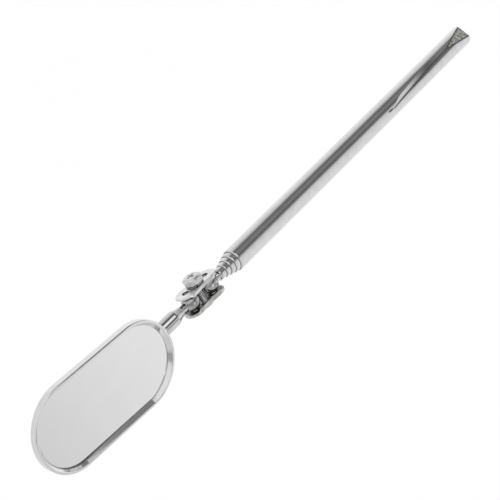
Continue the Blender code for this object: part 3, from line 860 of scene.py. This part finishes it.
class Graph(Tree):
    """One material's nodes, around its shader."""

    def __init__(self, name):
        self.material = bpy.data.materials.new(name)
        super().__init__(self.material)
        self.shader = self.nodes["Principled BSDF"]
        self.place = self.nodes.new("ShaderNodeTexCoord").outputs["Object"]

    def fixed(self, **values):
        for socket, value in values.items():
            self.shader.inputs[socket.replace("_", " ")].default_value = value

    def drive(self, socket, output):
        self.links.new(output, self.shader.inputs[socket])

    def stretched(self, scale):
        """Object coordinates scaled per axis."""
        node = self.nodes.new("ShaderNodeMapping")
        node.inputs["Scale"].default_value = scale
        self.links.new(self.place, node.inputs["Vector"])
        return node.outputs["Vector"]

    def noise(self, size, detail=3.0, scale=(1.0, 1.0, 1.0), roughness=0.55):
        """Noise whose lumps are about size metres across; scale stretches it per axis."""
        node = self.nodes.new("ShaderNodeTexNoise")
        node.inputs["Scale"].default_value = 1.0 / size
        node.inputs["Detail"].default_value = detail
        node.inputs["Roughness"].default_value = roughness
        self.links.new(self.stretched(scale), node.inputs["Vector"])
        return node.outputs["Fac"]

    def spread(self, value, low, high, to_low, to_high):
        """Map value from one range to another, held inside it."""
        node = self.nodes.new("ShaderNodeMapRange")
        limits = {"From Min": low, "From Max": high, "To Min": to_low, "To Max": to_high}
        for socket, number in limits.items():
            node.inputs[socket].default_value = number
        self.links.new(value, node.inputs["Value"])
        return node.outputs["Result"]

    def colours(self, value, first, second):
        """Blend two colours by value."""
        node = self.nodes.new("ShaderNodeMix")
        node.data_type = "RGBA"
        node.inputs["A"].default_value = (*first, 1.0)
        node.inputs["B"].default_value = (*second, 1.0)
        self.links.new(value, node.inputs["Factor"])
        return node.outputs["Result"]

    def attribute(self, name):
        node = self.nodes.new("ShaderNodeAttribute")
        node.attribute_name = name
        return node.outputs["Fac"]

    def bump(self, height, strength, distance):
        node = self.nodes.new("ShaderNodeBump")
        node.inputs["Strength"].default_value = strength
        node.inputs["Distance"].default_value = distance
        self.links.new(height, node.inputs["Height"])
        self.drive("Normal", node.outputs["Normal"])


def chrome(name, light, dark, gloss, grain, painted_shade_level=None):
    """Bright plate over drawn tube: faint orange peel, fine rubs along the tube and cloudy dulling.

    The last argument sets how dark the painted shade is along the throats, creases and seams; with it
    come the dull pressed flats.
    """
    g = Graph(name)
    g.fixed(Metallic=1.0)
    cloud = g.noise(2.4 * MM, 4.0)
    rubs = g.noise(0.22 * MM, 3.0, (0.06, 1.0, 1.0))
    colour = g.colours(g.spread(cloud, 0.3, 0.7, 0.0, 1.0), light, dark)
    rubbed = g.spread(rubs, 0.55, 0.75, 0.0, 1.0)
    wear = g.math("MULTIPLY", rubbed, g.spread(cloud, 0.45, 0.7, 0.0, 1.0))
    rough = g.spread(wear, 0.0, 1.0, gloss, gloss + 0.12)
    if painted_shade_level is not None:
        pressed = g.attribute("pressed")
        mottle = g.spread(g.noise(0.9 * MM, 4.0), 0.38, 0.62, 0.0, 1.0)
        colour = g.blend(pressed, colour, g.colours(mottle, (0.30, 0.28, 0.25), (0.78, 0.77, 0.73)))
        rough = g.math("ADD", rough, g.math("MULTIPLY", pressed, 0.4))
        # painted shade: the rolled throats, the tail's creases and dents and the mirror's seam are
        # darkened in colour
        painted_shade = g.attribute("painted_shade")
        colour = g.blend(painted_shade, colour, g.colours(mottle, [painted_shade_level] * 3, [painted_shade_level * 2] * 3))
        rough = g.math("ADD", rough, g.math("MULTIPLY", painted_shade, 0.3))
    g.drive("Base Color", colour)
    g.drive("Roughness", rough)
    peel = g.noise(0.45 * MM, 2.0)
    g.bump(g.math("ADD", peel, g.math("MULTIPLY", rubs, 0.35)), grain, 0.02 * MM)
    return g.material


def satin(name, light, dark, gloss, grain):
    """Plated steel with a soft, slightly milky sheen, tumbling marks and darker rubbed spots."""
    g = Graph(name)
    g.fixed(Metallic=1.0)
    cloud = g.noise(1.3 * MM, 5.0)
    pits = g.noise(0.16 * MM, 2.0)
    g.drive("Base Color", g.colours(g.spread(cloud, 0.32, 0.68, 0.0, 1.0), light, dark))
    g.drive("Roughness", g.spread(g.math("ADD", cloud, pits), 0.7, 1.35, gloss, gloss + 0.16))
    g.bump(g.math("ADD", pits, g.math("MULTIPLY", cloud, 1.5)), grain, 0.03 * MM)
    return g.material


def mirror_finish():
    """Silvered glass: almost perfect, with faint smears and a few specks of dust."""
    g = Graph("look_mirror")
    g.fixed(Metallic=1.0)
    smear = g.noise(7.0 * MM, 3.0, (0.6, 1.0, 1.0))
    specks = g.noise(0.35 * MM, 1.0)
    clean, smeared = (0.835, 0.835, 0.835), (0.82, 0.82, 0.82)
    g.drive("Base Color", g.colours(g.spread(smear, 0.35, 0.65, 0.0, 1.0), clean, smeared))
    dust = g.spread(specks, 0.76, 0.8, 0.0, 0.25)
    haze = g.spread(smear, 0.55, 0.75, 0.015, 0.03)
    g.drive("Roughness", g.math("ADD", haze, dust))
    return g.material


def bronze_finish():
    g = Graph("look_bronze")
    g.fixed(Metallic=1.0)
    cloud = g.noise(0.8 * MM, 4.0)
    g.drive("Base Color", g.colours(cloud, (0.66, 0.5, 0.27), (0.5, 0.36, 0.17)))
    g.drive("Roughness", g.spread(cloud, 0.3, 0.7, 0.28, 0.45))
    g.bump(g.noise(0.1 * MM), 0.3, 0.02 * MM)
    return g.material


def felt_finish():
    g = Graph("look_felt")
    g.fixed(Metallic=0.0)
    fibres = g.noise(0.12 * MM, 5.0, (1.0, 0.4, 1.0))
    g.drive("Base Color", g.colours(fibres, (0.05, 0.05, 0.052), (0.17, 0.17, 0.165)))
    g.drive("Roughness", g.spread(fibres, 0.3, 0.7, 0.85, 1.0))
    g.bump(fibres, 0.8, 0.06 * MM)
    return g.material


# ---- stage -------------------------------------------------------------------------------------
CAMERA_PLACE = Vector((-0.1975, 0.2487, 0.3176))
VIEW_FORWARD = Vector((0.558, -0.512, -0.653))
VIEW_RIGHT = Vector((0.59, -0.309, 0.746))
LENS = 108.0                     # millimetres, on a sensor SENSOR wide
SENSOR = 36.0
FLOOR_DROP = 110.0 * MM          # room under the object for the head to swing down
FLOOR_RADIUS = 3.0
SOFTBOX_PLACE = (0.05, -0.1, 1.1)
SOFTBOX_SIZE = 0.6
SOFTBOX_WATTS = 0.7
# how far along X, from -1 to 1, each band of the studio's light blends into the next
LIGHT_BANDS = ((0.05, 0.3), (0.36, 0.5), (0.5, 0.522), (0.72, 0.76), (0.84, 0.88))


def make_camera():
    """A long lens above the glass's side, with the tail at the upper right."""
    data = bpy.data.cameras.new("view")
    data.lens = LENS
    data.sensor_width = SENSOR
    data.clip_start = 0.01
    data.clip_end = 20.0
    forward = VIEW_FORWARD.normalized()
    right = (VIEW_RIGHT - forward * VIEW_RIGHT.dot(forward)).normalized()
    up = right.cross(forward)
    camera = bpy.data.objects.new("view", data)
    bpy.context.scene.collection.objects.link(camera)
    turn = Matrix((right, up, -forward)).transposed().to_4x4()
    camera.matrix_world = Matrix.Translation(CAMERA_PLACE) @ turn
    bpy.context.scene.camera = camera


class Sky(Tree):
    """The studio's brightness by direction, for what the bright metal reflects."""

    def __init__(self):
        self.world = bpy.data.worlds.new("studio")
        super().__init__(self.world)
        split = self.nodes.new("ShaderNodeSeparateXYZ")
        self.links.new(self.nodes.new("ShaderNodeTexCoord").outputs["Generated"], split.inputs["Vector"])
        self.along = split.outputs["X"]
        self.around = self.math("ARCTAN2", split.outputs["Z"], split.outputs["Y"])

    def levels(self, stops):
        """Brightness by angle about the X axis, from (degrees, level) pairs; 0 is +Y and 90 is up."""
        node = self.nodes.new("ShaderNodeValToRGB")
        self.links.new(self.math("DIVIDE", self.math("ADD", self.around, pi), 2 * pi), node.inputs["Fac"])
        elements = node.color_ramp.elements
        while len(elements) < len(stops):
            elements.new(0.5)
        for element, (degrees, level) in zip(elements, stops):
            element.position = (degrees + 180.0) / 360.0
            element.color = (level, level, level, 1.0)
        return node.outputs["Color"]

    def between(self, value, low, high):
        """0 below low, 1 above high, and smooth in between."""
        node = self.nodes.new("ShaderNodeMapRange")
        node.interpolation_type = "SMOOTHSTEP"
        node.inputs["From Min"].default_value = low
        node.inputs["From Max"].default_value = high
        self.links.new(value, node.inputs["Value"])
        return node.outputs["Result"]


def make_world():
    """A white studio with a long dark flag on the screw's side, which changes from band to band along X.

    Each list holds (degrees about the X axis, brightness); LIGHT_BANDS says where one gives way to
    the next.
    """
    sky = Sky()
    open_side = [(-180.0, 0.9), (-110.0, 0.82), (-30.0, 0.85), (0.0, 0.85), (15.0, 0.95), (50.0, 0.88),
                 (62.0, 0.45), (90.0, 0.4), (115.0, 0.72), (165.0, 0.74), (180.0, 0.9)]
    rising = [(-180.0, 1.0), (-60.0, 1.0), (-30.0, 0.8), (-14.0, 0.5), (-4.0, 0.2)]
    stripes = [(2.0, 0.1), (14.0, 0.1), (22.0, 0.9), (30.0, 1.3), (46.0, 1.3), (54.0, 0.6), (60.0, 0.1),
               (72.0, 0.1), (79.0, 0.7), (90.0, 0.7), (97.0, 0.4), (105.0, 0.45)]
    split_flag = rising + stripes + [(116.0, 0.9), (180.0, 0.95)]
    low_flag = rising + stripes + [(116.0, 0.72), (150.0, 0.74), (180.0, 0.9)]
    solid = [(2.0, 0.17), (10.0, 0.2), (20.0, 0.24), (34.0, 0.25), (46.0, 0.18), (58.0, 0.14),
             (66.0, 0.3)]
    whole_flag = rising + solid + [(76.0, 0.6), (85.0, 0.8), (125.0, 0.93), (180.0, 0.93)]
    end_flag = [(-180.0, 0.06), (-152.0, 0.06), (-140.0, 0.9), (-60.0, 0.9), (-4.0, 0.45), (20.0, 0.62),
                (40.0, 0.4), (58.0, 0.3), (76.0, 0.65), (110.0, 0.9), (146.0, 0.9), (156.0, 0.06),
                (180.0, 0.06)]
    end_glow = [(-180.0, 1.1), (-60.0, 0.9), (-4.0, 0.6), (20.0, 0.72), (58.0, 0.4), (76.0, 0.7),
                (110.0, 1.1), (180.0, 1.1)]
    light = sky.levels(open_side)
    for (low, high), stops in zip(LIGHT_BANDS, (low_flag, split_flag, whole_flag, end_flag, end_glow)):
        light = sky.blend(sky.between(sky.along, low, high), light, sky.levels(stops))
    seen = sky.nodes.new("ShaderNodeLightPath").outputs["Is Camera Ray"]
    plain = sky.nodes.new("ShaderNodeRGB").outputs["Color"]
    plain.default_value = (1.0, 1.0, 1.0, 1.0)
    sky.links.new(sky.blend(seen, light, plain), sky.nodes["Background"].inputs["Color"])
    bpy.context.scene.world = sky.world


def make_floor():
    """A pale floor, far enough below for the head to swing down and too bright for a dark shadow."""
    bm = bmesh.new()
    bmesh.ops.create_circle(bm, cap_ends=True, segments=96, radius=FLOOR_RADIUS)
    mesh = bpy.data.meshes.new("floor")
    bm.to_mesh(mesh)
    bm.free()
    pale = bpy.data.materials.new("floor_pale")
    pale.use_nodes = True
    shader = pale.node_tree.nodes["Principled BSDF"]
    shader.inputs["Base Color"].default_value = (0.14, 0.14, 0.14, 1.0)
    shader.inputs["Roughness"].default_value = 0.9
    shader.inputs["Specular IOR Level"].default_value = 0.0
    shader.inputs["Emission Color"].default_value = (1.0, 1.0, 1.0, 1.0)
    shader.inputs["Emission Strength"].default_value = 0.9
    mesh.materials.append(pale)
    floor = bpy.data.objects.new("floor", mesh)
    floor.location = (0.0, 0.0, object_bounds()[0][2] - FLOOR_DROP)
    floor.visible_glossy = False
    bpy.context.scene.collection.objects.link(floor)


def make_softbox():
    """One large soft light overhead."""
    data = bpy.data.lights.new("softbox", "AREA")
    data.shape = "SQUARE"
    data.size = SOFTBOX_SIZE
    data.energy = SOFTBOX_WATTS
    softbox = bpy.data.objects.new("softbox", data)
    softbox.location = SOFTBOX_PLACE
    bpy.context.scene.collection.objects.link(softbox)


# ---- build -------------------------------------------------------------------------------------
def build():
    """Make the finishes, then the pieces from the handle to the mirror."""
    bright, mid = (0.80, 0.80, 0.81), (0.74, 0.74, 0.75)
    dull, dimmer = (0.66, 0.66, 0.67), (0.58, 0.58, 0.59)
    tube = chrome("look_tube_chrome", mid, dull, gloss=0.07, grain=0.10)
    # the formed tubes and the bezel carry painted shade in their throats, creases and seam
    formed_tube = chrome("look_formed_tube", mid, dull, gloss=0.07, grain=0.10, painted_shade_level=0.07)
    turned_chrome = chrome("look_turned_chrome", dull, dimmer, gloss=0.06, grain=0.06)
    bezel = chrome("look_bezel", bright, mid, gloss=0.06, grain=0.06, painted_shade_level=0.1)
    # the balls' chrome is painted darker, as shade and dark reflection from the clamp around them
    ball = chrome("look_ball_painted_shade", (0.58, 0.58, 0.58), (0.34, 0.34, 0.34), gloss=0.05, grain=0.05)
    plate = satin("look_plate", (0.84, 0.85, 0.84), (0.68, 0.69, 0.68), gloss=0.2, grain=0.3)
    # the lower plate is a darker copy of the plate finish: painted shade
    shaded_plate = satin("look_plate_shaded_copy", (0.70, 0.70, 0.69), (0.42, 0.42, 0.41), gloss=0.2, grain=0.35)
    # the plates' inner faces are painted dark as shade inside the clamp
    shade = satin("look_plate_inside_shade", (0.34, 0.34, 0.33), (0.16, 0.16, 0.155), gloss=0.34, grain=0.3)
    bolt = satin("look_bolt", (0.78, 0.78, 0.77), (0.62, 0.62, 0.62), gloss=0.2, grain=0.3)
    # the lock washer is painted dark as the shadow under the screw's head
    spring = satin("look_washer_painted_shade", (0.42, 0.42, 0.41), (0.2, 0.2, 0.2), gloss=0.25, grain=0.4)
    silver = mirror_finish()
    bronze = bronze_finish()
    felt = felt_finish()

    for name, node in frame["nodes"].items():
        node.data.materials.clear()
        node.data.materials.append({"backing_pad": felt}.get(name, bronze))
    make_outer_tube(formed_tube)
    for index in (1, 2, 3):
        make_section(index, formed_tube)
    make_rod(tube)
    make_rod_neck(turned_chrome)
    make_ball("handle_ball", HANDLE_BALL, ball)
    make_ball("mirror_ball", MIRROR_BALL, ball)
    make_plate("clamp_plate_upper", 1, UPPER_OUTER, plate, shade)
    make_plate("clamp_plate_lower", -1, LOWER_OUTER, shaded_plate, shade)
    make_screw(bolt)
    make_nut(bolt)
    make_washer(spring)
    make_stem_neck(turned_chrome)
    make_collar(turned_chrome)
    make_frame(bezel)
    make_glass(silver)


build()
make_camera()
make_world()
make_floor()
make_softbox()
bpy.context.scene.view_settings.view_transform = "Standard"
